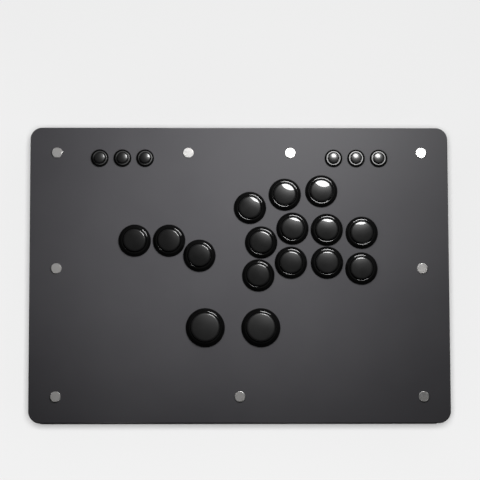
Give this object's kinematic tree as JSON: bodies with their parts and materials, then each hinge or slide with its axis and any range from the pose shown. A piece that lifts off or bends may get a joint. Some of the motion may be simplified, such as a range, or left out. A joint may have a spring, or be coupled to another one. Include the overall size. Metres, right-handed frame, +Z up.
{
  "type": "arcade control panel",
  "caption": "Leverless arcade controller: a satin black plate of snap-in push buttons, held by magnets on a shallow case with its wiring inside.",
  "frame": {"origin": "on the desk under the middle of the top plate", "axes": "+X to the player's right, +Y away from the player, +Z up"},
  "size_m": [0.36, 0.255, 0.055],
  "materials": {
    "plate_black_anodised": "black, satin, very fine grain",
    "magnet_nickel": "nickel plate, bright, lightly handled",
    "case_black_plastic": "moulded black, fine texture",
    "base_black_steel": "black powder coat",
    "screw_steel": "zinc plated",
    "foot_rubber": "matt black",
    "button_black_gloss": "polished moulded black",
    "nut_steel": "nickel plated",
    "switch_black_plastic": "moulded",
    "terminal_brass": "tinned brass",
    "sleeve_clear_red": "soft red vinyl",
    "wire_insulation": "satin insulation, several colours",
    "ground_insulation": "satin black insulation",
    "board_laminate": "green solder mask",
    "chip_black": "moulded epoxy",
    "header_nylon": "natural nylon",
    "plug_nylon": "natural nylon",
    "spacer_brass": "turned brass",
    "spring_steel": "bright spring wire",
    "socket_steel": "nickel plated shell"
  },
  "bodies": {
    "case": {"case_frame": "case_black_plastic", "case_magnets": "magnet_nickel", "base_plate": "base_black_steel", "base_screws": "screw_steel", "rubber_feet": "foot_rubber", "encoder_board": "board_laminate", "board_chips": "chip_black", "board_headers": "header_nylon", "harness_plugs": "plug_nylon", "board_spacers": "spacer_brass", "board_screws": "screw_steel", "usb_socket": "socket_steel", "signal_wires": "wire_insulation"},
    "panel": {"top_panel": "plate_black_anodised", "panel_magnets": "magnet_nickel", "housing_left": "button_black_gloss", "housing_down": "button_black_gloss", "housing_right": "button_black_gloss", "housing_low_1": "button_black_gloss", "housing_low_2": "button_black_gloss", "housing_low_3": "button_black_gloss", "housing_low_4": "button_black_gloss", "housing_mid_1": "button_black_gloss", "housing_mid_2": "button_black_gloss", "housing_mid_3": "button_black_gloss", "housing_mid_4": "button_black_gloss", "housing_top_1": "button_black_gloss", "housing_top_2": "button_black_gloss", "housing_top_3": "button_black_gloss", "housing_thumb_left": "button_black_gloss", "housing_thumb_right": "button_black_gloss", "option_bushings": "button_black_gloss", "option_nuts": "nut_steel", "option_springs": "spring_steel", "microswitches": "switch_black_plastic", "switch_terminals": "terminal_brass", "terminal_sleeves": "sleeve_clear_red", "ground_wires": "ground_insulation"},
    "plunger_left": {"plunger_left": "button_black_gloss"},
    "plunger_down": {"plunger_down": "button_black_gloss"},
    "plunger_right": {"plunger_right": "button_black_gloss"},
    "plunger_low_1": {"plunger_low_1": "button_black_gloss"},
    "plunger_low_2": {"plunger_low_2": "button_black_gloss"},
    "plunger_low_3": {"plunger_low_3": "button_black_gloss"},
    "plunger_low_4": {"plunger_low_4": "button_black_gloss"},
    "plunger_mid_1": {"plunger_mid_1": "button_black_gloss"},
    "plunger_mid_2": {"plunger_mid_2": "button_black_gloss"},
    "plunger_mid_3": {"plunger_mid_3": "button_black_gloss"},
    "plunger_mid_4": {"plunger_mid_4": "button_black_gloss"},
    "plunger_top_1": {"plunger_top_1": "button_black_gloss"},
    "plunger_top_2": {"plunger_top_2": "button_black_gloss"},
    "plunger_top_3": {"plunger_top_3": "button_black_gloss"},
    "plunger_thumb_left": {"plunger_thumb_left": "button_black_gloss"},
    "plunger_thumb_right": {"plunger_thumb_right": "button_black_gloss"},
    "plunger_option_1": {"plunger_option_1": "button_black_gloss"},
    "plunger_option_2": {"plunger_option_2": "button_black_gloss"},
    "plunger_option_3": {"plunger_option_3": "button_black_gloss"},
    "plunger_option_4": {"plunger_option_4": "button_black_gloss"},
    "plunger_option_5": {"plunger_option_5": "button_black_gloss"},
    "plunger_option_6": {"plunger_option_6": "button_black_gloss"}
  },
  "joints": [
    {"name": "panel_lift", "type": "slide", "parent": "case", "child": "panel", "axis": [0, 0, 1], "range_m": [0, 0.045], "deforming": ["signal_wires"]},
    {"name": "press_left", "type": "slide", "parent": "panel", "child": "plunger_left", "axis": [0, 0, -1], "range_m": [0, 0.0035], "stiffness_N_per_m": 175, "springref_m": -0.0017},
    {"name": "press_down", "type": "slide", "parent": "panel", "child": "plunger_down", "axis": [0, 0, -1], "range_m": [0, 0.0035], "stiffness_N_per_m": 175, "springref_m": -0.0017},
    {"name": "press_right", "type": "slide", "parent": "panel", "child": "plunger_right", "axis": [0, 0, -1], "range_m": [0, 0.0035], "stiffness_N_per_m": 175, "springref_m": -0.0017},
    {"name": "press_low_1", "type": "slide", "parent": "panel", "child": "plunger_low_1", "axis": [0, 0, -1], "range_m": [0, 0.0035], "stiffness_N_per_m": 175, "springref_m": -0.0017},
    {"name": "press_low_2", "type": "slide", "parent": "panel", "child": "plunger_low_2", "axis": [0, 0, -1], "range_m": [0, 0.0035], "stiffness_N_per_m": 175, "springref_m": -0.0017},
    {"name": "press_low_3", "type": "slide", "parent": "panel", "child": "plunger_low_3", "axis": [0, 0, -1], "range_m": [0, 0.0035], "stiffness_N_per_m": 175, "springref_m": -0.0017},
    {"name": "press_low_4", "type": "slide", "parent": "panel", "child": "plunger_low_4", "axis": [0, 0, -1], "range_m": [0, 0.0035], "stiffness_N_per_m": 175, "springref_m": -0.0017},
    {"name": "press_mid_1", "type": "slide", "parent": "panel", "child": "plunger_mid_1", "axis": [0, 0, -1], "range_m": [0, 0.0035], "stiffness_N_per_m": 175, "springref_m": -0.0017},
    {"name": "press_mid_2", "type": "slide", "parent": "panel", "child": "plunger_mid_2", "axis": [0, 0, -1], "range_m": [0, 0.0035], "stiffness_N_per_m": 175, "springref_m": -0.0017},
    {"name": "press_mid_3", "type": "slide", "parent": "panel", "child": "plunger_mid_3", "axis": [0, 0, -1], "range_m": [0, 0.0035], "stiffness_N_per_m": 175, "springref_m": -0.0017},
    {"name": "press_mid_4", "type": "slide", "parent": "panel", "child": "plunger_mid_4", "axis": [0, 0, -1], "range_m": [0, 0.0035], "stiffness_N_per_m": 175, "springref_m": -0.0017},
    {"name": "press_top_1", "type": "slide", "parent": "panel", "child": "plunger_top_1", "axis": [0, 0, -1], "range_m": [0, 0.0035], "stiffness_N_per_m": 175, "springref_m": -0.0017},
    {"name": "press_top_2", "type": "slide", "parent": "panel", "child": "plunger_top_2", "axis": [0, 0, -1], "range_m": [0, 0.0035], "stiffness_N_per_m": 175, "springref_m": -0.0017},
    {"name": "press_top_3", "type": "slide", "parent": "panel", "child": "plunger_top_3", "axis": [0, 0, -1], "range_m": [0, 0.0035], "stiffness_N_per_m": 175, "springref_m": -0.0017},
    {"name": "press_thumb_left", "type": "slide", "parent": "panel", "child": "plunger_thumb_left", "axis": [0, 0, -1], "range_m": [0, 0.0035], "stiffness_N_per_m": 175, "springref_m": -0.0017},
    {"name": "press_thumb_right", "type": "slide", "parent": "panel", "child": "plunger_thumb_right", "axis": [0, 0, -1], "range_m": [0, 0.0035], "stiffness_N_per_m": 175, "springref_m": -0.0017},
    {"name": "press_option_1", "type": "slide", "parent": "panel", "child": "plunger_option_1", "axis": [0, 0, -1], "range_m": [0, 0.0025], "stiffness_N_per_m": 175, "springref_m": -0.0017, "deforming": ["option_springs"]},
    {"name": "press_option_2", "type": "slide", "parent": "panel", "child": "plunger_option_2", "axis": [0, 0, -1], "range_m": [0, 0.0025], "stiffness_N_per_m": 175, "springref_m": -0.0017, "deforming": ["option_springs"]},
    {"name": "press_option_3", "type": "slide", "parent": "panel", "child": "plunger_option_3", "axis": [0, 0, -1], "range_m": [0, 0.0025], "stiffness_N_per_m": 175, "springref_m": -0.0017, "deforming": ["option_springs"]},
    {"name": "press_option_4", "type": "slide", "parent": "panel", "child": "plunger_option_4", "axis": [0, 0, -1], "range_m": [0, 0.0025], "stiffness_N_per_m": 175, "springref_m": -0.0017, "deforming": ["option_springs"]},
    {"name": "press_option_5", "type": "slide", "parent": "panel", "child": "plunger_option_5", "axis": [0, 0, -1], "range_m": [0, 0.0025], "stiffness_N_per_m": 175, "springref_m": -0.0017, "deforming": ["option_springs"]},
    {"name": "press_option_6", "type": "slide", "parent": "panel", "child": "plunger_option_6", "axis": [0, 0, -1], "range_m": [0, 0.0025], "stiffness_N_per_m": 175, "springref_m": -0.0017, "deforming": ["option_springs"]}
  ]
}
